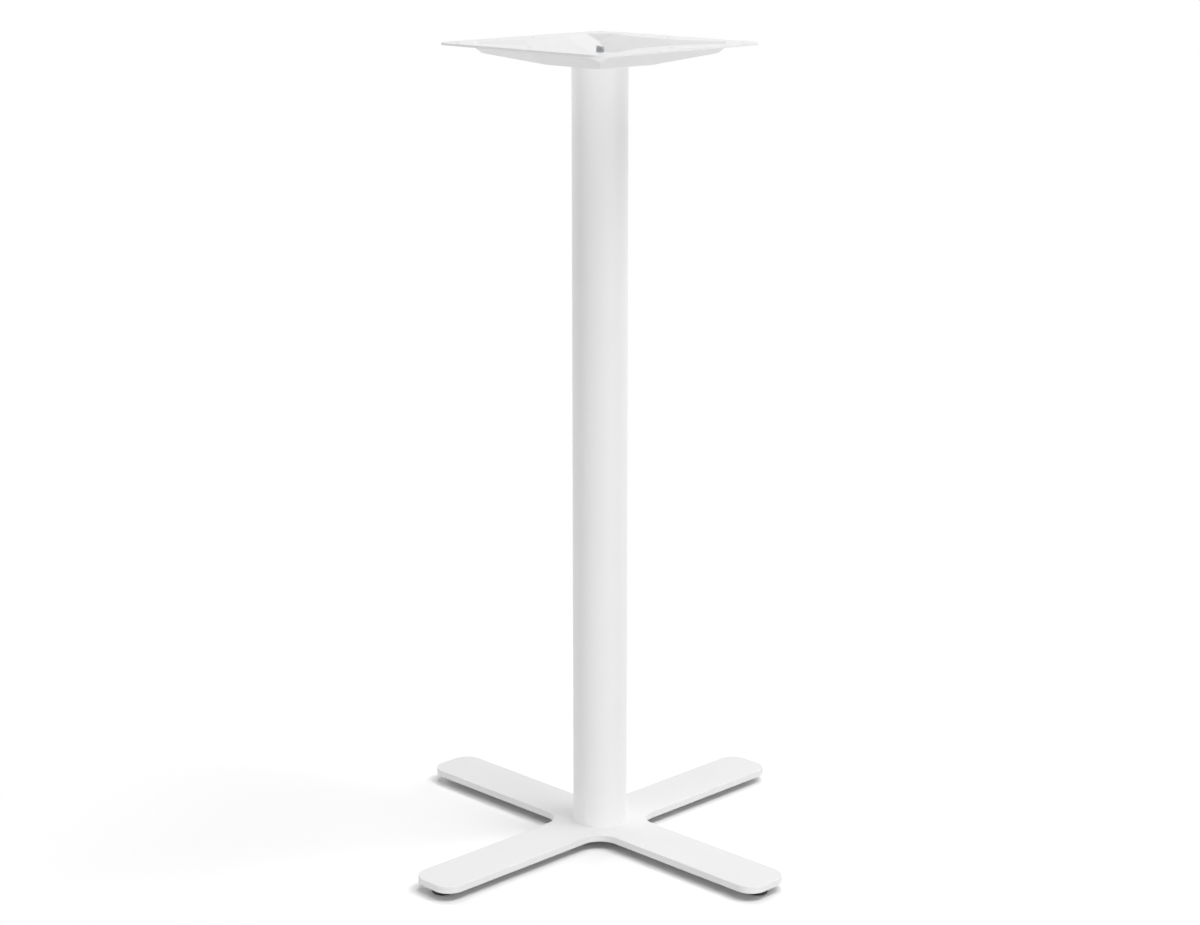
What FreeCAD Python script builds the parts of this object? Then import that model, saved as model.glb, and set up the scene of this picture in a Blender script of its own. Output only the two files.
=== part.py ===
import FreeCAD, Part
import math
import os
import Sketcher
from FreeCAD import Placement, Rotation, Vector

# Four star table base, bar height
#
# A flat cross of thick steel plate stands on four glides. A round tube rises from its middle and carries
# a pressed square head plate, which a table top is screwed to. One long tie rod runs down the tube and
# clamps head plate, tube and cross together.
#
# Millimetres, +Z up. The origin is on the floor under the middle of the cross. The arms lie along X and Y,
# and the sides of the head plate are square to them.

doc = FreeCAD.newDocument("four_star_table_base")

# Driving dimensions: name, value, what it measures
SIZES = [
    ("overall_height", 1120, "floor to the upper face of the head plate's rim"),
    ("floor_gap", 11, "floor to the underside of the cross"),
    ("cross_thickness", 10, "plate the cross is cut from"),
    ("arm_reach", 325, "column axis to the end of an arm"),
    ("arm_width", 76, "width of an arm"),
    ("tip_radius", 25, "rounded corners at the end of an arm"),
    ("crotch_radius", 30, "rounded inner corners between two arms"),
    ("edge_round", 0.8, "broken edges of the cross under its coating"),
    ("tube_diameter", 76, "column tube, outside"),
    ("tube_wall", 2, "column tube, wall"),
    ("disc_thickness", 5, "discs that centre the tube at both ends"),
    ("disc_play", 0.25, "disc to tube bore, at the radius"),
    ("head_side", 310, "head plate, side of the square"),
    ("head_corner_radius", 20, "head plate, rounded corners"),
    ("head_sheet", 3, "head plate, sheet"),
    ("dish_depth", 26.5, "rim to dish floor, both upper faces"),
    ("floor_margin", 13, "outside of the tube to the sides of the dish's flat square floor"),
    ("rim_width", 50, "sides of the head plate to the mouth of the dish"),
    ("mouth_straight", 76, "straight part of each side of the mouth, between two corner channels"),
    ("channel_end_depth", 11.5, "rim to the bottom of a channel where its end wall starts"),
    ("end_slope", 1.0, "rise of a channel's end wall, for each millimetre out"),
    ("channel_land", 22.5, "top of a channel's end wall to the axis of the corner hole"),
    ("bend_radius", 4, "every bend of the pressed sheet, on both faces"),
    ("screw_hole", 7, "holes in the rim for the table top's screws"),
    ("corner_hole_inset", 21, "sides of the head plate to the axis of a corner hole"),
    ("side_hole_inset", 25, "side of the head plate to the axis of the hole at its middle"),
    ("rod_diameter", 12, "tie rod"),
    ("rod_rise", 22.5, "end of the tie rod above the dish floor"),
    ("rod_floor_gap", 2, "lower end of the tie rod above the floor"),
    ("rod_chamfer", 1.2, "ends of the tie rod"),
    ("rod_hole_play", 0.5, "tie rod to the holes it passes, at the radius"),
    ("thread_play", 0.05, "rod or stud to its thread, at the radius"),
    ("nut_flats", 18, "hexagon nuts of the tie rod, across flats"),
    ("nut_height", 10, "upper nut"),
    ("thin_nut_height", 6, "lower nut, which has to clear the floor"),
    ("washer_diameter", 24, "washers of the tie rod"),
    ("washer_thickness", 2.5, "washers of the tie rod"),
    ("glide_inset", 25, "end of an arm to the axis of its glide"),
    ("pad_diameter", 30, "glide pad"),
    ("pad_height", 7, "glide pad"),
    ("pad_edge", 1.5, "rounded edges of a pad"),
    ("stud_diameter", 8, "threaded stud of a glide"),
    ("stud_bite", 6.5, "stud inside the cross"),
    ("stud_socket", 4, "stud inside the pad"),
    ("stud_hole_depth", 8.2, "blind hole in the cross for a stud"),
    ("collar_flats", 13, "hexagon collar of a stud, across flats"),
    ("collar_height", 2, "hexagon collar of a stud"),
]

sheet = doc.addObject("Spreadsheet::Sheet", "Sizes")
for row, (alias, value, note) in enumerate(SIZES, start=1):
    sheet.set(f"A{row}", note)
    sheet.set(f"B{row}", str(value))
    sheet.setAlias(f"B{row}", alias)
doc.recompute()

# Heights and places that several pieces share, written once as expressions on the sheet
CROSS_TOP = "(Sizes.floor_gap + Sizes.cross_thickness)"
DISH_FLOOR = "(Sizes.overall_height - Sizes.dish_depth)"
HEAD_SEAT = "(Sizes.overall_height - Sizes.dish_depth - Sizes.head_sheet)"
TUBE_BORE_RADIUS = "(Sizes.tube_diameter / 2 - Sizes.tube_wall)"
ROD_HOLE_RADIUS = "(Sizes.rod_diameter / 2 + Sizes.rod_hole_play)"
COLLAR_SEAT = "Sizes.pad_height"
GLIDE_REACH = "(Sizes.arm_reach - Sizes.glide_inset)"
QUARTERS = 4
TOLERANCE = 0.001

# Shape of the head plate's dish, whose walls are planes: half sides of its floor and mouth, then the rise of
# a funnel wall and of a channel's valley for each millimetre out, and of a flank for each millimetre sideways
FLOOR_HALF = "(Sizes.tube_diameter / 2 + Sizes.floor_margin)"
FLOOR_CORNER = f"({FLOOR_HALF} * sqrt(2))"
MOUTH_HALF = "(Sizes.head_side / 2 - Sizes.rim_width)"
WALL_SLOPE = f"(Sizes.dish_depth / ({MOUTH_HALF} - {FLOOR_HALF}))"
CORNER_HOLE_REACH = "((Sizes.head_side / 2 - Sizes.corner_hole_inset) * sqrt(2))"
CHANNEL_REACH = f"({CORNER_HOLE_REACH} - Sizes.channel_land)"
VALLEY_REACH = f"({CHANNEL_REACH} - Sizes.channel_end_depth / Sizes.end_slope)"
VALLEY_SLOPE = f"((Sizes.dish_depth - Sizes.channel_end_depth) / ({VALLEY_REACH} - {FLOOR_CORNER}))"
RIDGE_OUT = f"(({MOUTH_HALF} + Sizes.mouth_straight / 2) / sqrt(2))"
RIDGE_SIDEWAYS = f"(({MOUTH_HALF} - Sizes.mouth_straight / 2) / sqrt(2))"
FLANK_SLOPE = f"((Sizes.dish_depth - {VALLEY_SLOPE} * ({RIDGE_OUT} - {FLOOR_CORNER})) / {RIDGE_SIDEWAYS})"

# How a sketch names the points of a line or circle, and its own origin
START, END, CENTRE = range(1, 4)
ORIGIN = (-1, START)


def bind(target, prop, expression):
    """Ties one property to an expression on the sheet."""
    target.setExpression(prop, str(expression))


def new_body(label):
    body = doc.addObject("PartDesign::Body", label)
    body.Label = label
    return body


def origin_plane(body, role):
    for feature in body.Origin.OriginFeatures:
        if feature.Role == role:
            return feature
    raise RuntimeError(f"{body.Label} has no {role}")


def new_sketch(body, name, role="XY_Plane", height=None):
    """A sketch on one of the body's origin planes, lifted along the plane's normal where asked."""
    sketch = body.newObject("Sketcher::SketchObject", name)
    sketch.AttachmentSupport = (origin_plane(body, role), [""])
    sketch.MapMode = "FlatFace"
    if height is not None:
        bind(sketch, "AttachmentOffset.Base.z", height)
    return sketch


def place_point(sketch, line, end, across, up):
    """Holds a point of the sketch at two expressions, measured from the sketch's origin."""
    for kind, expression in (("DistanceX", across), ("DistanceY", up)):
        value = getattr(sketch.getPoint(line, end), "x" if kind == "DistanceX" else "y")
        index = sketch.addConstraint(Sketcher.Constraint(kind, *ORIGIN, line, end, value))
        bind(sketch, f"Constraints[{index}]", expression)


def evaluate(expression):
    """The present value of an expression on the sheet, to start a sketch near its final shape."""
    return float(sheet.evalExpression(str(expression)))


def draw_polygon(sketch, corners):
    """Closed outline whose corners are pairs of expressions."""
    points = [Vector(evaluate(across), evaluate(up), 0) for across, up in corners]
    count = len(points)
    for k in range(count):
        sketch.addGeometry(Part.LineSegment(points[k], points[(k + 1) % count]), False)
    for k in range(count):
        sketch.addConstraint(Sketcher.Constraint("Coincident", k, END, (k + 1) % count, START))
    for k, (across, up) in enumerate(corners):
        place_point(sketch, k, START, across, up)


def draw_circle(sketch, radius, across="0", up="0"):
    centre = Vector(evaluate(across), evaluate(up), 0)
    circle = sketch.addGeometry(Part.Circle(centre, Vector(0, 0, 1), evaluate(radius)), False)
    place_point(sketch, circle, CENTRE, across, up)
    index = sketch.addConstraint(Sketcher.Constraint("Radius", circle, evaluate(radius)))
    bind(sketch, f"Constraints[{index}]", radius)


def pad(body, sketch, length, name):
    feature = body.newObject("PartDesign::Pad", name)
    feature.Profile = sketch
    bind(feature, "Length", length)
    return feature


def pocket(body, sketch, length, name, upwards=True):
    """Cuts a sketch into the solid, up from its plane or down from it, and makes sure that it cut."""
    before = body.Shape.Volume
    feature = body.newObject("PartDesign::Pocket", name)
    feature.Profile = sketch
    feature.Reversed = upwards
    bind(feature, "Length", length)
    doc.recompute()
    if not feature.Shape.Volume < before:
        raise RuntimeError(f"{name} cuts nothing")
    return feature


def loft(body, kind, sections, name):
    feature = body.newObject(f"PartDesign::{kind}Loft", name)
    feature.Profile = sections[0]
    feature.Sections = sections[1:]
    feature.Ruled = True
    doc.recompute()
    return feature


def quarter_pattern(body, features, name):
    """Repeats features four times about the body's upright axis."""
    pattern = body.newObject("PartDesign::PolarPattern", name)
    pattern.Originals = features
    for feature in body.Origin.OriginFeatures:
        if feature.Role == "Z_Axis":
            pattern.Axis = (feature, [""])
    pattern.Angle = 360
    pattern.Occurrences = QUARTERS
    body.Tip = pattern
    doc.recompute()
    return pattern


def edges_where(shape, test):
    return [f"Edge{k}" for k, edge in enumerate(shape.Edges, start=1) if test(edge)]


def round_edges(body, test, radius, name):
    """Fillet on the edges of the body's present tip that pass a test."""
    base = body.Tip
    names = edges_where(base.Shape, test)
    if not names:
        raise RuntimeError(f"{name} finds no edge")
    feature = body.newObject("PartDesign::Fillet", name)
    feature.Base = (base, names)
    bind(feature, "Radius", radius)
    doc.recompute()
    return feature


def is_near(one, other):
    return abs(one - other) < TOLERANCE


def is_upright(edge):
    return isinstance(edge.Curve, Part.Line) and is_near(abs(edge.tangentAt(edge.FirstParameter).z), 1)


def at_height(edge, z):
    return all(is_near(vertex.Z, z) for vertex in edge.Vertexes)


def touches(edge, heights):
    return any(is_near(vertex.Z, z) for vertex in edge.Vertexes for z in heights)


def lies_within(edge, radius):
    return all(math.hypot(vertex.X, vertex.Y) < radius for vertex in edge.Vertexes)


# Cross: two bars of plate that meet at the middle, cut out in one piece
def make_cross():
    body = new_body("base_cross")
    reach, half = "Sizes.arm_reach", "Sizes.arm_width / 2"
    bars = {
        "BarAlongX": [(f"-{reach}", f"-{half}"), (reach, f"-{half}"), (reach, half), (f"-{reach}", half)],
        "BarAlongY": [(f"-{half}", f"-{reach}"), (half, f"-{reach}"), (half, reach), (f"-{half}", reach)],
    }
    for name, corners in bars.items():
        outline = new_sketch(body, f"{name}Outline", height="Sizes.floor_gap")
        draw_polygon(outline, corners)
        pad(body, outline, "Sizes.cross_thickness", name)
        doc.recompute()

    def outermost(edge):
        return max(abs(edge.CenterOfMass.x), abs(edge.CenterOfMass.y))

    arm_end, crotch = evaluate(reach), evaluate(half)
    round_edges(body, lambda edge: is_upright(edge) and is_near(outermost(edge), arm_end),
                "Sizes.tip_radius", "ArmTips")
    round_edges(body, lambda edge: is_upright(edge) and is_near(outermost(edge), crotch),
                "Sizes.crotch_radius", "Crotches")
    faces = [evaluate("Sizes.floor_gap"), evaluate(CROSS_TOP)]
    round_edges(body, lambda edge: any(at_height(edge, z) for z in faces), "Sizes.edge_round", "BrokenEdges")

    rod_hole = new_sketch(body, "RodHoleOutline", height="Sizes.floor_gap")
    draw_circle(rod_hole, ROD_HOLE_RADIUS)
    pocket(body, rod_hole, "Sizes.cross_thickness", "RodHole")

    stud_hole = new_sketch(body, "StudHoleOutline", height="Sizes.floor_gap")
    draw_circle(stud_hole, "Sizes.stud_diameter / 2 + Sizes.thread_play", across=GLIDE_REACH)
    quarter_pattern(body, [pocket(body, stud_hole, "Sizes.stud_hole_depth", "StudHole")], "StudHoles")
    return body


# Column: a plain round tube, square at both ends
def make_column():
    body = new_body("column_tube")
    ring = new_sketch(body, "TubeSection", height=CROSS_TOP)
    draw_circle(ring, "Sizes.tube_diameter / 2")
    draw_circle(ring, TUBE_BORE_RADIUS)
    pad(body, ring, f"{HEAD_SEAT} - {CROSS_TOP}", "Tube")
    return body


# Centring disc: keeps one end of the tube on the axis, with the tie rod through its middle
def make_disc(label, lower_face):
    body = new_body(label)
    outline = new_sketch(body, f"{label}_outline", height=lower_face)
    draw_circle(outline, f"{TUBE_BORE_RADIUS} - Sizes.disc_play")
    draw_circle(outline, ROD_HOLE_RADIUS)
    pad(body, outline, "Sizes.disc_thickness", f"{label}_plate")
    return body


def draw_diamond(sketch, half_side):
    """Square standing on its corner, so that its corners lie on the sketch's axes."""
    corner = f"(({half_side}) * sqrt(2))"
    draw_polygon(sketch, [(corner, "0"), ("0", corner), (f"-{corner}", "0"), ("0", f"-{corner}")])


def dish_levels(outside):
    """Expressions for one skin of the pressed dish: its upper face, or its underside one sheet lower.

    The underside's walls are the upper ones moved out by the sheet, and its channels start at the corners
    of its own floor, so the drawn flanks come out slightly thinner than the flat sheet."""
    if not outside:
        return FLOOR_HALF, MOUTH_HALF, "Sizes.dish_depth", CHANNEL_REACH
    lean = f"sqrt(1 + {WALL_SLOPE} ^ 2)"
    return (f"({FLOOR_HALF} + Sizes.head_sheet * ({lean} - 1) / {WALL_SLOPE})",
            f"({MOUTH_HALF} + Sizes.head_sheet * {lean} / {WALL_SLOPE})",
            "(Sizes.dish_depth + Sizes.head_sheet)",
            f"({CHANNEL_REACH} + Sizes.head_sheet * sqrt(1 + Sizes.end_slope ^ 2) / Sizes.end_slope)")


def add_dish(body, kind, outside):
    """Square funnel and four V channels that run from its floor's corners out towards the plate's corners."""
    side = "Under" if outside else "Upper"
    floor_half, mouth_half, depth, reach = dish_levels(outside)
    floor_sketch = new_sketch(body, f"{side}FloorOutline", height=f"-{depth}")
    draw_diamond(floor_sketch, floor_half)
    mouth_sketch = new_sketch(body, f"{side}MouthOutline")
    draw_diamond(mouth_sketch, mouth_half)
    loft(body, kind, [floor_sketch, mouth_sketch], f"{side}Funnel")

    # A channel's skin lies at the height  start + VALLEY_SLOPE * out + FLANK_SLOPE * sideways
    corner = f"({floor_half} * sqrt(2))"
    start = f"(-{depth} - {VALLEY_SLOPE} * {corner})"
    valley_end = f"(({start} + Sizes.end_slope * {reach}) / (Sizes.end_slope - {VALLEY_SLOPE}))"
    end_half = f"(-({start} + {VALLEY_SLOPE} * {reach}) / {FLANK_SLOPE})"
    end_length = f"(({reach} - {valley_end}) * sqrt(1 + Sizes.end_slope ^ 2))"

    root = new_sketch(body, f"{side}ChannelRoot", role="YZ_Plane", height=corner)
    root_half = f"({depth} / {FLANK_SLOPE})"
    draw_polygon(root, [("0", f"-{depth}"), (root_half, "0"), (f"-{root_half}", "0")])

    end = new_sketch(body, f"{side}ChannelEnd", role="YZ_Plane", height=reach)
    end.AttachmentOffset = Placement(end.AttachmentOffset.Base, Rotation(Vector(1, 0, 0), 45))
    bind(end, "AttachmentOffset.Rotation.Angle", "atan(1 / Sizes.end_slope)")
    draw_polygon(end, [("0", f"-{end_length}"), (end_half, "0"), (f"-{end_half}", "0")])
    channel = loft(body, kind, [root, end], f"{side}Channel")
    quarter_pattern(body, [channel], f"{side}Channels")

    levels = [evaluate(f"Sizes.dish_depth - {depth}"), evaluate(f"-{depth}")]
    corner_hole = evaluate(CORNER_HOLE_REACH)
    round_edges(body, lambda edge: touches(edge, levels) and lies_within(edge, corner_hole),
                "Sizes.bend_radius", f"{side}Bends")


# Head plate: one square of sheet, pressed into a dish that reaches down to the tube
def make_head_plate():
    body = new_body("head_plate")
    rim = new_sketch(body, "RimOutline", height="-Sizes.head_sheet")
    draw_diamond(rim, "Sizes.head_side / 2")
    pad(body, rim, "Sizes.head_sheet", "Rim")
    doc.recompute()
    round_edges(body, is_upright, "Sizes.head_corner_radius", "RimCorners")
    add_dish(body, "Additive", outside=True)
    add_dish(body, "Subtractive", outside=False)

    rod_hole = new_sketch(body, "HeadRodHoleOutline", height="-(Sizes.dish_depth + Sizes.head_sheet)")
    draw_circle(rod_hole, ROD_HOLE_RADIUS)
    pocket(body, rod_hole, "Sizes.head_sheet", "HeadRodHole")

    corner_hole = new_sketch(body, "CornerHoleOutline", height="-Sizes.head_sheet")
    draw_circle(corner_hole, "Sizes.screw_hole / 2", across=CORNER_HOLE_REACH)
    quarter_pattern(body, [pocket(body, corner_hole, "Sizes.head_sheet", "CornerHole")], "CornerHoles")

    side_hole = new_sketch(body, "SideHoleOutline", height="-Sizes.head_sheet")
    half_diagonal = "((Sizes.head_side / 2 - Sizes.side_hole_inset) / sqrt(2))"
    draw_circle(side_hole, "Sizes.screw_hole / 2", across=half_diagonal, up=half_diagonal)
    quarter_pattern(body, [pocket(body, side_hole, "Sizes.head_sheet", "SideHole")], "SideHoles")

    body.Placement = Placement(Vector(), Rotation(Vector(0, 0, 1), 45))
    bind(body, "Placement.Base.z", "Sizes.overall_height")
    return body


# Tie rod: full length stud with chamfered ends
def make_tie_rod():
    body = new_body("tie_rod")
    outline = new_sketch(body, "RodSection", height="Sizes.rod_floor_gap")
    draw_circle(outline, "Sizes.rod_diameter / 2")
    pad(body, outline, f"{DISH_FLOOR} + Sizes.rod_rise - Sizes.rod_floor_gap", "Rod")
    doc.recompute()
    base = body.Tip
    chamfer = body.newObject("PartDesign::Chamfer", "RodEnds")
    chamfer.Base = (base, edges_where(base.Shape, lambda edge: isinstance(edge.Curve, Part.Circle)))
    bind(chamfer, "Size", "Sizes.rod_chamfer")
    return body


def cylinder(name, radius, height, lower_face):
    shape = doc.addObject("Part::Cylinder", name)
    bind(shape, "Radius", radius)
    bind(shape, "Height", height)
    bind(shape, "Placement.Base.z", lower_face)
    return shape


def boolean(kind, name, base, tool):
    result = doc.addObject(f"Part::{kind}", name)
    result.Base = base
    result.Tool = tool
    result.Label = name
    return result


# Hexagon nut: prism whose corners are turned down by a cone at both faces, bored for the rod
def make_nut(label, height, lower_face):
    prism = doc.addObject("Part::Prism", f"{label}_prism")
    prism.Polygon = 6
    bind(prism, "Circumradius", "Sizes.nut_flats / sqrt(3)")
    bind(prism, "Height", height)
    bind(prism, "Placement.Base.z", lower_face)
    turned = cylinder(f"{label}_turned", "Sizes.nut_flats / sqrt(3)", height, lower_face)
    doc.recompute()
    chamfered = doc.addObject("Part::Chamfer", f"{label}_chamfered")
    chamfered.Base = turned
    reach = evaluate("Sizes.nut_flats / sqrt(3) - Sizes.nut_flats / 2")
    chamfered.Edges = [
        (k, 0.5 * reach, reach) for k, edge in enumerate(turned.Shape.Edges, start=1)
        if isinstance(edge.Curve, Part.Circle)]
    blank = boolean("Common", f"{label}_blank", prism, chamfered)
    bore = cylinder(f"{label}_bore", "Sizes.rod_diameter / 2 + Sizes.thread_play", height, lower_face)
    return boolean("Cut", label, blank, bore)


def make_washer(label, lower_face):
    plate = cylinder(f"{label}_plate", "Sizes.washer_diameter / 2", "Sizes.washer_thickness", lower_face)
    hole = cylinder(f"{label}_hole", ROD_HOLE_RADIUS, "Sizes.washer_thickness", lower_face)
    return boolean("Cut", label, plate, hole)


# Glide stud: threaded stem with a hexagon collar to turn it by
def make_glide_stud(label, angle):
    body = new_body(label)
    stem = new_sketch(body, f"{label}_section", height=f"{COLLAR_SEAT} - Sizes.stud_socket")
    draw_circle(stem, "Sizes.stud_diameter / 2")
    pad(body, stem, f"Sizes.floor_gap + Sizes.stud_bite - {COLLAR_SEAT} + Sizes.stud_socket", f"{label}_stem")
    collar = new_sketch(body, f"{label}_hexagon", height=COLLAR_SEAT)
    radius = "(Sizes.collar_flats / sqrt(3))"
    half = "(Sizes.collar_flats / 2)"
    draw_polygon(collar, [
        (radius, "0"), (f"{radius} / 2", half), (f"-{radius} / 2", half),
        (f"-{radius}", "0"), (f"-{radius} / 2", f"-{half}"), (f"{radius} / 2", f"-{half}")])
    pad(body, collar, "Sizes.collar_height", f"{label}_collar")
    put_on_arm(body, angle)
    return body


# Glide pad: round moulded foot with soft edges and a socket for the stud
def make_glide_pad(label, angle):
    body = new_body(label)
    outline = new_sketch(body, f"{label}_outline")
    draw_circle(outline, "Sizes.pad_diameter / 2")
    pad(body, outline, "Sizes.pad_height", f"{label}_disc")
    doc.recompute()
    round_edges(body, lambda edge: isinstance(edge.Curve, Part.Circle), "Sizes.pad_edge", f"{label}_edges")
    socket = new_sketch(body, f"{label}_socket_outline", height="Sizes.pad_height - Sizes.stud_socket")
    draw_circle(socket, "Sizes.stud_diameter / 2 + Sizes.thread_play")
    pocket(body, socket, "Sizes.stud_socket", f"{label}_socket")
    put_on_arm(body, angle)
    return body


def put_on_arm(body, angle):
    """Turns a glide piece about the column and moves it out along its arm."""
    body.Placement = Placement(Vector(), Rotation(Vector(0, 0, 1), angle))
    bind(body, "Placement.Base.x", f"{GLIDE_REACH} * cos({angle})")
    bind(body, "Placement.Base.y", f"{GLIDE_REACH} * sin({angle})")


ARMS = {"right": 0, "rear": 90, "left": 180, "front": 270}
WASHER_TOP = f"{DISH_FLOOR} + Sizes.washer_thickness"
LOWER_WASHER = "Sizes.floor_gap - Sizes.washer_thickness"

pieces = [
    make_cross(),
    make_column(),
    make_disc("lower_centring_disc", CROSS_TOP),
    make_disc("upper_centring_disc", f"{HEAD_SEAT} - Sizes.disc_thickness"),
    make_head_plate(),
    make_tie_rod(),
    make_washer("upper_washer", DISH_FLOOR),
    make_nut("upper_nut", "Sizes.nut_height", WASHER_TOP),
    make_washer("lower_washer", LOWER_WASHER),
    make_nut("lower_thin_nut", "Sizes.thin_nut_height", f"{LOWER_WASHER} - Sizes.thin_nut_height"),
]
for arm, angle in ARMS.items():
    pieces.append(make_glide_stud(f"glide_stud_{arm}", angle))
    pieces.append(make_glide_pad(f"glide_pad_{arm}", angle))

doc.recompute()
for item in doc.Objects:
    if "Invalid" in item.State or "Error" in item.State:
        raise RuntimeError(f"{item.Label} did not build: {item.State}")
for piece in pieces:
    if piece.Shape.isNull() or not piece.Shape.isValid() or len(piece.Shape.Solids) != 1:
        raise RuntimeError(f"{piece.Label} is not one valid solid")

os.makedirs("parts", exist_ok=True)
for piece in pieces:
    piece.Shape.exportStep(f"parts/{piece.Label}.step")
    box = piece.Shape.BoundBox
    print(f"{piece.Label}: {box.XLength:.1f} x {box.YLength:.1f} x {box.ZLength:.1f} mm, "
          f"volume {piece.Shape.Volume / 1000:.1f} cm3")
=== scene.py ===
# %% [markdown]
# # A four star table base in white powder coat
#
# The object is the foot of a bar table: a flat steel cross on four glides, a round column, and a
# pressed head plate that the table top is screwed to. Its forms are plain, so a good picture of it
# depends on clean curved surfaces, honest small edges that catch the light, and a soft white studio.
#
# The solids come from the CAD model. This script dresses them: it builds finer pieces where a
# surface or a thread asks for it, gives every surface its finish, and sets up light and camera.
# Lengths are metres.

# %% Load the solids
import math

import bmesh
import bpy
from mathutils import Matrix, Vector


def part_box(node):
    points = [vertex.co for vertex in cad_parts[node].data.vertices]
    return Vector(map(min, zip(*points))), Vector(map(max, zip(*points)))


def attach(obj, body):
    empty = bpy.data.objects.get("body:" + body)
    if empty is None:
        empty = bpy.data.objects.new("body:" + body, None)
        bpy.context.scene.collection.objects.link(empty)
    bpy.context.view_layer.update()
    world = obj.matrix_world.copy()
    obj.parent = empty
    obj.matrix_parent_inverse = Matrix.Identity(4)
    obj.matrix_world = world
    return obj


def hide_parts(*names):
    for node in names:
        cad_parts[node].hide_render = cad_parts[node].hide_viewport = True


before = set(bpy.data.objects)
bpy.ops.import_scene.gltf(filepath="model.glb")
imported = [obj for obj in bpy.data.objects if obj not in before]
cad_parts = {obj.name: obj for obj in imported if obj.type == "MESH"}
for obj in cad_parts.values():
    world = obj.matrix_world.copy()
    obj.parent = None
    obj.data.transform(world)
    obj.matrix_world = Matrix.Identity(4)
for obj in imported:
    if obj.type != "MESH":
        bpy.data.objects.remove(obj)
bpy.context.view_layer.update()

# %% [markdown]
# ## Sizes read from the solids
#
# A dressed piece has to sit exactly where its solid sits, so its sizes are measured on the solid and
# not typed again. Only sizes that the solids don't have, such as a thread's pitch, are given here.

# %% Measure the solids
MM = 0.001
ARMS = ("right", "rear", "left", "front")


def span(node):
    """Width and the lowest and highest level of a solid."""
    low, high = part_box(node)
    return high.x - low.x, low.z, high.z


tube_width, tube_foot, tube_head = span("column_tube")
rod_width, rod_foot, rod_tip = span("tie_rod")
print(f"column {tube_width / MM:.0f} mm wide, {(tube_head - tube_foot) / MM:.0f} mm long")
print(f"tie rod {rod_width / MM:.0f} mm thick, {(rod_tip - rod_foot) / MM:.0f} mm long")

# %% [markdown]
# ## The photograph's camera
#
# The product was photographed from a little above the rim, so that the rim shows as a thin diamond.
# The camera was found by fitting a pinhole camera to the edges of the column, the arms and the head
# plate: it stands 3.33 m away and 1.37 m high, looks 13.9 degrees down, and faces the corner between
# two arms.

# %% Set up the camera
CAMERA_DISTANCE = 3.3326
CAMERA_HEIGHT = 1.3719
CAMERA_PITCH = math.radians(13.931)
CAMERA_TURN = math.radians(45)
SENSOR_WIDTH = 36.0
FOCAL_IN_PIXELS = 2481.97
PHOTO_WIDTH = 1200

to_camera = Vector((math.sin(CAMERA_TURN), -math.cos(CAMERA_TURN), 0))
to_right = Vector((math.cos(CAMERA_TURN), math.sin(CAMERA_TURN), 0))

camera_data = bpy.data.cameras.new("camera")
camera_data.sensor_fit = "HORIZONTAL"
camera_data.sensor_width = SENSOR_WIDTH
camera_data.lens = FOCAL_IN_PIXELS / PHOTO_WIDTH * SENSOR_WIDTH
camera = bpy.data.objects.new("camera", camera_data)
camera.location = to_camera * CAMERA_DISTANCE + Vector((0, 0, CAMERA_HEIGHT))
camera.rotation_euler = (math.pi / 2 - CAMERA_PITCH, 0, CAMERA_TURN)
bpy.context.scene.collection.objects.link(camera)
bpy.context.scene.camera = camera
print(f"lens {camera_data.lens:.1f} mm at {tuple(round(x, 3) for x in camera.location)}")

# %% [markdown]
# ## Node materials, with a few small helpers
#
# Every finish below is a Principled BSDF with procedural noise. The first helpers add a node with
# its sockets set, and start a material together with the piece's own coordinates, so that a pattern
# stays on the piece when it moves.

# %% Helpers for nodes and materials
def add_node(tree, kind, **sockets):
    """A new node, with underscores in the socket names standing for spaces."""
    node = tree.nodes.new(kind)
    for name, value in sockets.items():
        node.inputs[name.replace("_", " ")].default_value = value
    return node


def new_material(name):
    """An empty Principled material and its tree, shader and coordinates."""
    material = bpy.data.materials.new(name)
    material.use_nodes = True
    tree = material.node_tree
    shader = tree.nodes["Principled BSDF"]
    place = tree.nodes.new("ShaderNodeTexCoord").outputs["Object"]
    return material, tree, shader, place


# %% [markdown]
# A finish needs three things from noise: a range of values for gloss, a blend of two near colours,
# and a bump with a real height. Each is a helper of its own.

# %% Helpers for patterns
NOISE_LOW, NOISE_HIGH = 0.3, 0.7
MIX_COLOUR_A, MIX_COLOUR_B, MIX_COLOUR_RESULT = 6, 7, 2


def noise(tree, place, scale, detail=2.0, roughness=0.5):
    node = add_node(tree, "ShaderNodeTexNoise", Scale=scale, Detail=detail, Roughness=roughness)
    tree.links.new(place, node.inputs["Vector"])
    return node.outputs["Fac"]


def spread(tree, value, low, high):
    """Maps noise, which keeps near a half, to the range from low to high."""
    node = add_node(tree, "ShaderNodeMapRange", From_Min=NOISE_LOW, From_Max=NOISE_HIGH,
                    To_Min=low, To_Max=high)
    tree.links.new(value, node.inputs["Value"])
    return node.outputs["Result"]


def tint(tree, factor, dark, light):
    """A colour between two others."""
    node = tree.nodes.new("ShaderNodeMix")
    node.data_type = "RGBA"
    node.inputs[MIX_COLOUR_A].default_value = (*dark, 1)
    node.inputs[MIX_COLOUR_B].default_value = (*light, 1)
    tree.links.new(factor, node.inputs["Factor"])
    return node.outputs[MIX_COLOUR_RESULT]


def bump(tree, shader, height, distance, strength=1.0, under=None):
    """Bump of a real height in metres, on top of another bump where given."""
    node = add_node(tree, "ShaderNodeBump", Strength=strength, Distance=distance)
    tree.links.new(height, node.inputs["Height"])
    if under is not None:
        tree.links.new(under, node.inputs["Normal"])
    tree.links.new(node.outputs["Normal"], shader.inputs["Normal"])
    return node.outputs["Normal"]


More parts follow.
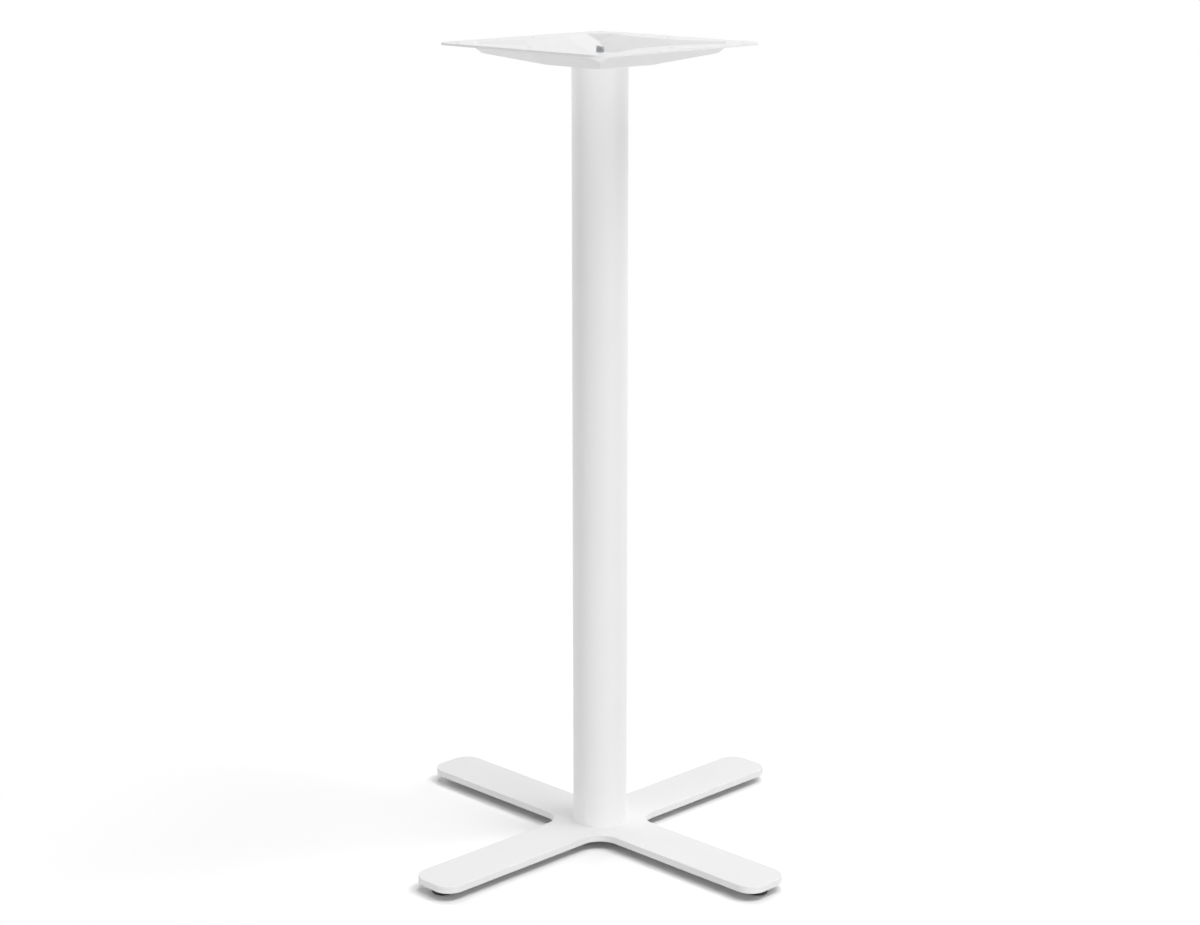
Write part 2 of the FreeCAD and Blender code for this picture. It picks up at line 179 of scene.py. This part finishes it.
# %% [markdown]
# ## White powder coat
#
# Powder is sprayed on dry and melts in an oven. It flows to an even matt skin with a faint orange
# peel, ripples about two millimetres long and a few hundredths of a millimetre high, and a still
# finer grain. The ripples only show where light grazes the surface, so they are bump, not geometry.

# %% Make the powder coat
COAT_COLOUR = (0.86, 0.86, 0.86)
COAT_SHADE = (0.845, 0.845, 0.845)


def powder_coat():
    material, tree, shader, place = new_material("white_powder_coat")
    cloud = spread(tree, noise(tree, place, scale=9, detail=3), 0, 1)
    tree.links.new(tint(tree, cloud, COAT_SHADE, COAT_COLOUR), shader.inputs["Base Color"])
    gloss = spread(tree, noise(tree, place, scale=60, detail=4), 0.58, 0.65)
    tree.links.new(gloss, shader.inputs["Roughness"])
    peel = noise(tree, place, scale=420, detail=1)
    grain = noise(tree, place, scale=2600, detail=2)
    under = bump(tree, shader, peel, distance=0.03 * MM, strength=0.35)
    bump(tree, shader, grain, distance=0.008 * MM, strength=0.3, under=under)
    shader.inputs["Specular IOR Level"].default_value = 0.35
    return material


white_coat = powder_coat()
print("made", white_coat.name)

# %% [markdown]
# ## Zinc on steel
#
# The rod, nuts, washers and the hidden discs are bright zinc plated. That is a metal with a cold grey
# tone and slightly cloudy gloss. The cloud comes from noise in the roughness, which is what the eye
# reads as plating.

# %% Make the zinc
ZINC_COLOUR = (0.63, 0.64, 0.65)
ZINC_SHADE = (0.50, 0.51, 0.53)


def zinc_plating():
    material, tree, shader, place = new_material("zinc_plated_steel")
    cloud = spread(tree, noise(tree, place, scale=140, detail=4), 0, 1)
    tree.links.new(tint(tree, cloud, ZINC_SHADE, ZINC_COLOUR), shader.inputs["Base Color"])
    gloss = spread(tree, noise(tree, place, scale=500, detail=5), 0.24, 0.40)
    tree.links.new(gloss, shader.inputs["Roughness"])
    shader.inputs["Metallic"].default_value = 1.0
    bump(tree, shader, noise(tree, place, scale=1800, detail=3), distance=0.01 * MM, strength=0.4)
    return material


zinc = zinc_plating()
print("made", zinc.name)

# %% [markdown]
# ## Moulded black plastic
#
# Glide pads are moulded in black polymer. The mould is lightly spark eroded, which leaves a fine even
# grain and a matt surface that is never quite black.

# %% Make the plastic
PLASTIC_COLOUR = (0.028, 0.028, 0.029)
PLASTIC_SHADE = (0.018, 0.018, 0.019)


def pad_plastic():
    material, tree, shader, place = new_material("black_pad_plastic")
    cloud = spread(tree, noise(tree, place, scale=220, detail=3), 0, 1)
    tree.links.new(tint(tree, cloud, PLASTIC_SHADE, PLASTIC_COLOUR), shader.inputs["Base Color"])
    gloss = spread(tree, noise(tree, place, scale=700, detail=3), 0.48, 0.62)
    tree.links.new(gloss, shader.inputs["Roughness"])
    bump(tree, shader, noise(tree, place, scale=3200, detail=2), distance=0.02 * MM, strength=0.5)
    return material


black_plastic = pad_plastic()
print("made", black_plastic.name)

# %% [markdown]
# ## From a bmesh to a piece
#
# Each new piece ends the same way: doubles are merged, the normals are made to point outwards, curved
# surfaces are shaded smooth and real edges stay sharp. A Weighted Normal modifier then keeps large
# flat faces flat where they meet a small round. Last, the solid that the piece stands for is hidden,
# and the piece is hung on the body it moves with.

# %% Finish a piece
SHARP = math.radians(32)
MERGE_WITHIN = 0.002 * MM


def finish_piece(bm, name, material, node, body="frame"):
    """Turns a bmesh into a shown piece that stands for one solid and rides on its body."""
    bmesh.ops.remove_doubles(bm, verts=bm.verts, dist=MERGE_WITHIN)
    bmesh.ops.recalc_face_normals(bm, faces=bm.faces)
    for face in bm.faces:
        face.smooth = True
    for edge in bm.edges:
        edge.smooth = edge.calc_face_angle(0) < SHARP
    mesh = bpy.data.meshes.new(name)
    bm.to_mesh(mesh)
    bm.free()
    mesh.materials.append(material)
    piece = bpy.data.objects.new(name, mesh)
    bpy.context.scene.collection.objects.link(piece)
    weighted = piece.modifiers.new("flat_faces", "WEIGHTED_NORMAL")
    weighted.keep_sharp = True
    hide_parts(node)
    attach(piece, body)
    print(f"{name}: {len(mesh.polygons)} faces")


# %% [markdown]
# Some solids already have the right form, so a copy of the mesh is enough. A solid comes as loose
# triangles: they are merged, and triangles that lie in one plane are joined to whole faces. A bevel
# can then find the real edges by their angle.

# %% Copy a solid and break its edges
FLAT_WITHIN = math.radians(0.2)


def break_edges(bm, width, from_angle=60):
    """Small round on every edge that is sharper than the angle."""
    sharp = [edge for edge in bm.edges if edge.is_manifold
             and edge.calc_face_angle() > math.radians(from_angle)]
    bmesh.ops.bevel(bm, geom=sharp, offset=width, segments=3, profile=0.5, affect="EDGES",
                    clamp_overlap=True, material=-1)


def copy_of_solid(node, broken_edge=0.0):
    """A merged copy of a solid's mesh, whose flat areas are joined to whole faces."""
    bm = bmesh.new()
    bm.from_mesh(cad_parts[node].data)
    bmesh.ops.remove_doubles(bm, verts=bm.verts, dist=MERGE_WITHIN)
    bmesh.ops.dissolve_limit(bm, angle_limit=FLAT_WITHIN, verts=bm.verts, edges=bm.edges)
    if broken_edge:
        break_edges(bm, broken_edge)
    return bm


# %% [markdown]
# ## Column
#
# A length of steel tube. It fills the middle of the picture, so it must be truly round: the wall's
# section is drawn once as a small rectangle with its corners rounded, and spun about the upright
# axis.

# %% Build the column
TUBE_WALL = 2 * MM
TUBE_EDGE = 0.15 * MM
TUBE_STEPS = 160


def section(bm, points):
    """Closed outline in the XZ plane, from pairs of radius and height."""
    verts = [bm.verts.new((radius, 0, height)) for radius, height in points]
    edges = [bm.edges.new(pair) for pair in zip(verts, verts[1:] + verts[:1])]
    return verts, edges


def spin_round(bm, steps):
    """Full turn of all that is in the bmesh about the upright axis."""
    bmesh.ops.spin(bm, geom=bm.verts[:] + bm.edges[:], cent=(0, 0, 0), axis=(0, 0, 1),
                   angle=math.tau, steps=steps, use_merge=True)


bm = bmesh.new()
outer = tube_width / 2
inner = outer - TUBE_WALL
corners, _ = section(bm, [(inner, tube_foot), (outer, tube_foot),
                          (outer, tube_head), (inner, tube_head)])
bmesh.ops.bevel(bm, geom=corners, offset=TUBE_EDGE, segments=4, profile=0.5, affect="VERTICES",
                material=-1)
spin_round(bm, TUBE_STEPS)
finish_piece(bm, "column", white_coat, "column_tube")

# %% [markdown]
# ## Cross and head plate
#
# Both are plain sheet steel whose exact form, with its bends and holes, is already in the solids, so
# they are copied. The head plate's sheared outline and punched holes get a small bevel, because no
# real edge is perfectly sharp and the coat rounds it further. The cross has its rounds already.

# %% Dress the two plates
SHEARED_EDGE = 0.35 * MM

finish_piece(copy_of_solid("base_cross"), "cross_plate", white_coat, "base_cross")
finish_piece(copy_of_solid("head_plate", SHEARED_EDGE), "pressed_head_plate", white_coat,
             "head_plate")

# %% [markdown]
# ## Screw threads
#
# A thread is a V groove that climbs by one pitch each turn. A zigzag one pitch long is spun with a
# rise, so that each turn lands on the last one, and the doubles are merged. The spin starts below the
# wanted length and ends above it. Planes then cut it to length, the cuts are filled, and the tip is
# turned down to a chamfer.

# %% Cut a thread
THREAD_STEPS = 32
THREAD_DEPTH_IN_PITCHES = 0.61
CREST_IN_PITCHES = 1 / 8
ROOT_IN_PITCHES = 1 / 4
TURNS_BELOW = 2
TURNS_TO_SPARE = 4
MERGE_TURNS_WITHIN = 0.005 * MM


def threaded_end(radius, pitch, length, chamfer):
    """Thread that rises from level 0 to a chamfered tip, in a bmesh of its own."""
    bm = bmesh.new()
    root = radius - THREAD_DEPTH_IN_PITCHES * pitch
    crest_flat, root_flat = CREST_IN_PITCHES * pitch, ROOT_IN_PITCHES * pitch
    rise = (pitch - crest_flat - root_flat) / 2
    zigzag = [(root, 0), (root, root_flat), (radius, root_flat + rise),
              (radius, root_flat + rise + crest_flat), (root, pitch)]
    start = -TURNS_BELOW * pitch
    verts = [bm.verts.new((across, 0, start + level)) for across, level in zigzag]
    edges = [bm.edges.new(pair) for pair in zip(verts, verts[1:])]
    turns = math.ceil(length / pitch) + TURNS_TO_SPARE
    bmesh.ops.spin(bm, geom=verts + edges, cent=(0, 0, 0), axis=(0, 0, 1),
                   dvec=(0, 0, pitch / THREAD_STEPS), angle=math.tau * turns,
                   steps=THREAD_STEPS * turns, use_merge=False)
    bmesh.ops.remove_doubles(bm, verts=bm.verts, dist=MERGE_TURNS_WITHIN)
    for level, direction in ((0, -1), (length, 1)):
        cut = bmesh.ops.bisect_plane(bm, geom=bm.verts[:] + bm.edges[:] + bm.faces[:],
                                     plane_co=(0, 0, level), plane_no=(0, 0, direction),
                                     clear_outer=True)
        rim = [item for item in cut["geom_cut"] if isinstance(item, bmesh.types.BMEdge)]
        bmesh.ops.contextual_create(bm, geom=rim)
    for vert in bm.verts:
        limit = radius - chamfer + length - vert.co.z
        across = vert.co.xy.length
        if across > limit:
            vert.co.xy *= limit / across
    return bm


# %% [markdown]
# A whole bolt is one closed skin. Its lengths are made apart and put into one bmesh. The flat ends
# that face each other are taken away, so that the open rims can be joined.

# %% Helpers that join the lengths of a bolt
LEVEL_WITHIN = 0.001 * MM


def add_to(bm, other, level, turned_over=False):
    """Moves another bmesh's shape into this one, at a level and upside down where asked."""
    where = Matrix.Translation((0, 0, level))
    if turned_over:
        where = where @ Matrix.Rotation(math.pi, 4, "X")
    bmesh.ops.transform(other, matrix=where, verts=other.verts)
    mesh = bpy.data.meshes.new("passing")
    other.to_mesh(mesh)
    other.free()
    bm.from_mesh(mesh)
    bpy.data.meshes.remove(mesh)


def open_ends(bm, *levels):
    """Takes away the flat ends that lie at the levels and returns the edges of their rims."""
    ends = [face for face in bm.faces for level in levels
            if all(abs(vert.co.z - level) < LEVEL_WITHIN for vert in face.verts)]
    rims = [edge for face in ends for edge in face.edges]
    for face in ends:
        bm.faces.remove(face)
    return rims


# %% [markdown]
# ## Tie rod
#
# The rod is as long as the column, but only its ends can be seen. So only they are threaded, and a
# plain shank does for the rest, which is shut in the tube. The shank is one ring of long faces that
# bridges the rims of the two threads.

# %% Build the tie rod
ROD_PITCH = 1.75 * MM
ROD_CHAMFER = 1.2 * MM
UPPER_THREAD = 45 * MM
LOWER_THREAD = 30 * MM

bm = bmesh.new()
shank_low, shank_high = rod_foot + LOWER_THREAD, rod_tip - UPPER_THREAD
add_to(bm, threaded_end(rod_width / 2, ROD_PITCH, UPPER_THREAD, ROD_CHAMFER), shank_high)
add_to(bm, threaded_end(rod_width / 2, ROD_PITCH, LOWER_THREAD, ROD_CHAMFER), shank_low,
       turned_over=True)
bmesh.ops.bridge_loops(bm, edges=open_ends(bm, shank_low, shank_high))
finish_piece(bm, "threaded_tie_rod", zinc, "tie_rod")

# %% [markdown]
# ## Nuts, washers and centring discs
#
# These turned and pressed parts have the right form in the solids already. A nut's corners are cut
# back by a cone, which leaves the curved edges that one knows from real nuts. They get broken edges
# and the zinc. The two discs sit inside the tube, so they keep their own meshes and only take the
# finish.

# %% Dress the small steel parts
TURNED_EDGE = 0.2 * MM

for node in ("upper_nut", "lower_thin_nut", "upper_washer", "lower_washer"):
    finish_piece(copy_of_solid(node, TURNED_EDGE), f"plated_{node}", zinc, node)

for node in ("lower_centring_disc", "upper_centring_disc"):
    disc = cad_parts[node]
    disc.data.materials.clear()
    disc.data.materials.append(zinc)
    print(node, "takes the zinc")

# %% [markdown]
# ## Studs of the levelling glides
#
# A glide is a threaded stud with a hexagon collar to turn it by, moulded into a round foot. Thread,
# collar and plain foot of the stud are stacked, and where two of them meet, the flat ring between
# their rims is filled. The stud rides on the glide's own body, because the glide screws up and down
# in the cross.

# %% Build the studs
STUD_WIDTH = 8 * MM
STUD_STEPS = 32
STUD_PITCH = 1.25 * MM
STUD_CHAMFER = 0.9 * MM
COLLAR_HEIGHT = 2 * MM
COLLAR_SIDES = 6


def upright_bar(radius, length, sides):
    """Round or cornered bar that stands on level 0, in a bmesh of its own."""
    bm = bmesh.new()
    bmesh.ops.create_cone(bm, cap_ends=True, segments=sides, radius1=radius, radius2=radius,
                          depth=length)
    bmesh.ops.translate(bm, verts=bm.verts, vec=(0, 0, length / 2))
    return bm


def glide_stud(arm):
    low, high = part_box(f"glide_stud_{arm}")
    collar_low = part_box(f"glide_pad_{arm}")[1].z
    collar_high = collar_low + COLLAR_HEIGHT
    collar_flats = min(high.x - low.x, high.y - low.y)
    corners_along_x = high.x - low.x > high.y - low.y
    collar = upright_bar(collar_flats / math.sqrt(3), COLLAR_HEIGHT, COLLAR_SIDES)
    break_edges(collar, TURNED_EDGE, from_angle=45)
    if corners_along_x:
        bmesh.ops.rotate(collar, verts=collar.verts, matrix=Matrix.Rotation(math.pi / 2, 3, "Z"))
    thread = threaded_end(STUD_WIDTH / 2, STUD_PITCH, high.z - collar_high, STUD_CHAMFER)
    bm = bmesh.new()
    add_to(bm, collar, collar_low)
    add_to(bm, thread, collar_high)
    add_to(bm, upright_bar(STUD_WIDTH / 2, collar_low - low.z, STUD_STEPS), low.z)
    for level in (collar_low, collar_high):
        bmesh.ops.triangle_fill(bm, edges=open_ends(bm, level), use_beauty=True)
    middle = (low + high) / 2
    bmesh.ops.translate(bm, verts=bm.verts, vec=(middle.x, middle.y, 0))
    finish_piece(bm, f"threaded_stud_{arm}", zinc, f"glide_stud_{arm}", f"glide_{arm}")


for arm in ARMS:
    glide_stud(arm)

# %% [markdown]
# ## Feet of the glides
#
# The foot is a spun section with soft corners and a socket for the stud. The section starts and ends
# on the axis, so that the spin closes it above and below.

# %% Build the feet
PAD_ROUND = 1.5 * MM
PAD_STEPS = 96
SOCKET_PLAY = 0.05 * MM


def glide_foot(arm):
    low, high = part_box(f"glide_pad_{arm}")
    stud_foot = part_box(f"glide_stud_{arm}")[0].z
    outer, socket = (high.x - low.x) / 2, STUD_WIDTH / 2 + SOCKET_PLAY
    middle = (low + high) / 2
    bm = bmesh.new()
    verts, edges = section(bm, [(0, low.z), (outer, low.z), (outer, high.z), (socket, high.z),
                                (socket, stud_foot), (0, stud_foot)])
    bm.edges.remove(edges[-1])
    bmesh.ops.bevel(bm, geom=verts[1:3], offset=PAD_ROUND, segments=6, profile=0.5,
                    affect="VERTICES", material=-1)
    spin_round(bm, PAD_STEPS)
    bmesh.ops.translate(bm, verts=bm.verts, vec=(middle.x, middle.y, 0))
    finish_piece(bm, f"moulded_foot_{arm}", black_plastic, f"glide_pad_{arm}",
                 f"glide_{arm}")


for arm in ARMS:
    glide_foot(arm)

# %% [markdown]
# ## Floor
#
# The picture has a pure white ground with a crisp dark line of shadow under the arms and only a
# breath of soft shadow beside it. The floor is a pale disc. Near the object the camera sees it as
# lit, but whiter than the disc that reflects light onto the object, so that the shadows stay and all
# else is white. Further out it turns to plain white for the camera alone.

# %% Make the floor's material
FLOOR_COLOUR = 0.80
FLOOR_AS_SEEN = 1.23
LIT_RADIUS = 0.40
WHITE_RADIUS = 0.90


def fade_outwards(tree):
    """0 near the object, rising to 1 far out on the floor."""
    place = tree.nodes.new("ShaderNodeTexCoord").outputs["Object"]
    distance = tree.nodes.new("ShaderNodeVectorMath")
    distance.operation = "LENGTH"
    tree.links.new(place, distance.inputs[0])
    ramp = add_node(tree, "ShaderNodeMapRange", From_Min=LIT_RADIUS, From_Max=WHITE_RADIUS)
    ramp.interpolation_type = "SMOOTHSTEP"
    tree.links.new(distance.outputs["Value"], ramp.inputs["Value"])
    return ramp.outputs["Result"]


def diffuse(tree, grey):
    return add_node(tree, "ShaderNodeBsdfDiffuse", Color=(grey, grey, grey, 1)).outputs[0]


def mixed(tree, factor, first, second):
    """The first shader where the factor is 0 and the second where it is 1."""
    mix = tree.nodes.new("ShaderNodeMixShader")
    tree.links.new(factor, mix.inputs["Fac"])
    tree.links.new(first, mix.inputs[1])
    tree.links.new(second, mix.inputs[2])
    return mix.outputs[0]


def floor_material():
    material = bpy.data.materials.new("studio_floor")
    material.use_nodes = True
    tree = material.node_tree
    tree.nodes.clear()
    white = add_node(tree, "ShaderNodeEmission", Color=(1, 1, 1, 1), Strength=1.0).outputs[0]
    seen = mixed(tree, fade_outwards(tree), diffuse(tree, FLOOR_AS_SEEN), white)
    camera_ray = tree.nodes.new("ShaderNodeLightPath").outputs["Is Camera Ray"]
    surface = mixed(tree, camera_ray, diffuse(tree, FLOOR_COLOUR), seen)
    output = tree.nodes.new("ShaderNodeOutputMaterial")
    tree.links.new(surface, output.inputs["Surface"])
    return material


studio_white = floor_material()
print("made", studio_white.name)

# %% [markdown]
# The disc is wide, and far out it is as white as the sky, so its edge doesn't show. It belongs to the
# studio and not to the object, so it is hung on no body.

# %% Lay the floor
FLOOR_RADIUS = 30
FLOOR_SIDES = 64

bm = bmesh.new()
bmesh.ops.create_circle(bm, cap_ends=True, segments=FLOOR_SIDES, radius=FLOOR_RADIUS)
floor_mesh = bpy.data.meshes.new("studio_floor")
bm.to_mesh(floor_mesh)
bm.free()
floor_mesh.materials.append(studio_white)
floor = bpy.data.objects.new("studio_floor", floor_mesh)
bpy.context.scene.collection.objects.link(floor)
print("floor laid")

# %% [markdown]
# ## Sky
#
# The sky fills the shadows with a little even light. The camera sees it pure white, and so do rays
# that are mirrored or pass through something, so that the metal shows the white studio around it.

# %% Light the sky
SKY_LIGHT = 0.20


def seen_directly(tree):
    """1 for the camera and for what shines or shows through, 0 for light that falls on surfaces."""
    light_path = tree.nodes.new("ShaderNodeLightPath")
    total = light_path.outputs["Is Camera Ray"]
    for kind in ("Is Glossy Ray", "Is Transmission Ray"):
        either = tree.nodes.new("ShaderNodeMath")
        either.operation = "MAXIMUM"
        tree.links.new(total, either.inputs[0])
        tree.links.new(light_path.outputs[kind], either.inputs[1])
        total = either.outputs[0]
    return total


def white_sky():
    world = bpy.data.worlds.new("studio_sky")
    world.use_nodes = True
    tree = world.node_tree
    tree.nodes.clear()
    soft, seen = [add_node(tree, "ShaderNodeBackground", Color=(1, 1, 1, 1), Strength=strength)
                  for strength in (SKY_LIGHT, 1.0)]
    shown = mixed(tree, seen_directly(tree), soft.outputs[0], seen.outputs[0])
    output = tree.nodes.new("ShaderNodeOutputWorld")
    tree.links.new(shown, output.inputs["Surface"])
    bpy.context.scene.world = world
    return world


print("made", white_sky().name)

# %% [markdown]
# ## Softboxes
#
# Seven large softboxes light the object from all sides, three of them from high up. The two that
# stand low in front are there for the column and for the upright edges of the arms. Light linking
# keeps them off the floor, as a photographer would with flags: otherwise they shine into the narrow
# gap under the arms and wash out the dark line of shadow there.

# %% Place the lamps
KEPT_OFF_FLOOR_BELOW = 1.0

floor_left_out = bpy.data.collections.new("floor_left_out")
floor_left_out.objects.link(floor)
floor_left_out.collection_objects[0].light_linking.link_state = "EXCLUDE"


def soft_lamp(name, sideways, towards, height, size, power, aim_height):
    """Square softbox placed beside, in front of and above the column, and turned to it."""
    data = bpy.data.lights.new(name, "AREA")
    data.shape = "SQUARE"
    data.size = size
    data.energy = power
    lamp = bpy.data.objects.new(name, data)
    lamp.location = to_right * sideways + to_camera * towards + Vector((0, 0, height))
    aim = Vector((0, 0, aim_height)) - lamp.location
    lamp.rotation_euler = aim.to_track_quat("-Z", "Y").to_euler()
    lamp.visible_camera = False
    if height < KEPT_OFF_FLOOR_BELOW:
        lamp.light_linking.receiver_collection = floor_left_out
    bpy.context.scene.collection.objects.link(lamp)
    print(f"{name}: {power} W from {height} m up")


soft_lamp("lamp_high_front", sideways=0.9, towards=1.8, height=7.0, size=3.5, power=97,
          aim_height=0.5)
soft_lamp("lamp_high_right", sideways=3.6, towards=0.4, height=6.2, size=3.0, power=148,
          aim_height=0.5)
soft_lamp("lamp_high_back", sideways=0.0, towards=-3.0, height=6.4, size=3.0, power=78,
          aim_height=0.5)
soft_lamp("lamp_low_right", sideways=2.3, towards=2.5, height=0.75, size=1.4, power=40,
          aim_height=0.55)
soft_lamp("lamp_low_left", sideways=-2.3, towards=2.5, height=0.75, size=1.4, power=33,
          aim_height=0.55)
soft_lamp("lamp_behind_right", sideways=2.4, towards=-2.4, height=1.4, size=2.0, power=26,
          aim_height=0.6)
soft_lamp("lamp_behind_left", sideways=-2.6, towards=-2.2, height=1.4, size=2.0, power=30,
          aim_height=0.6)

# %% [markdown]
# ## Close
#
# The colours are shown as they are, with no film look.

# %% Finish
bpy.context.scene.view_settings.view_transform = "Standard"
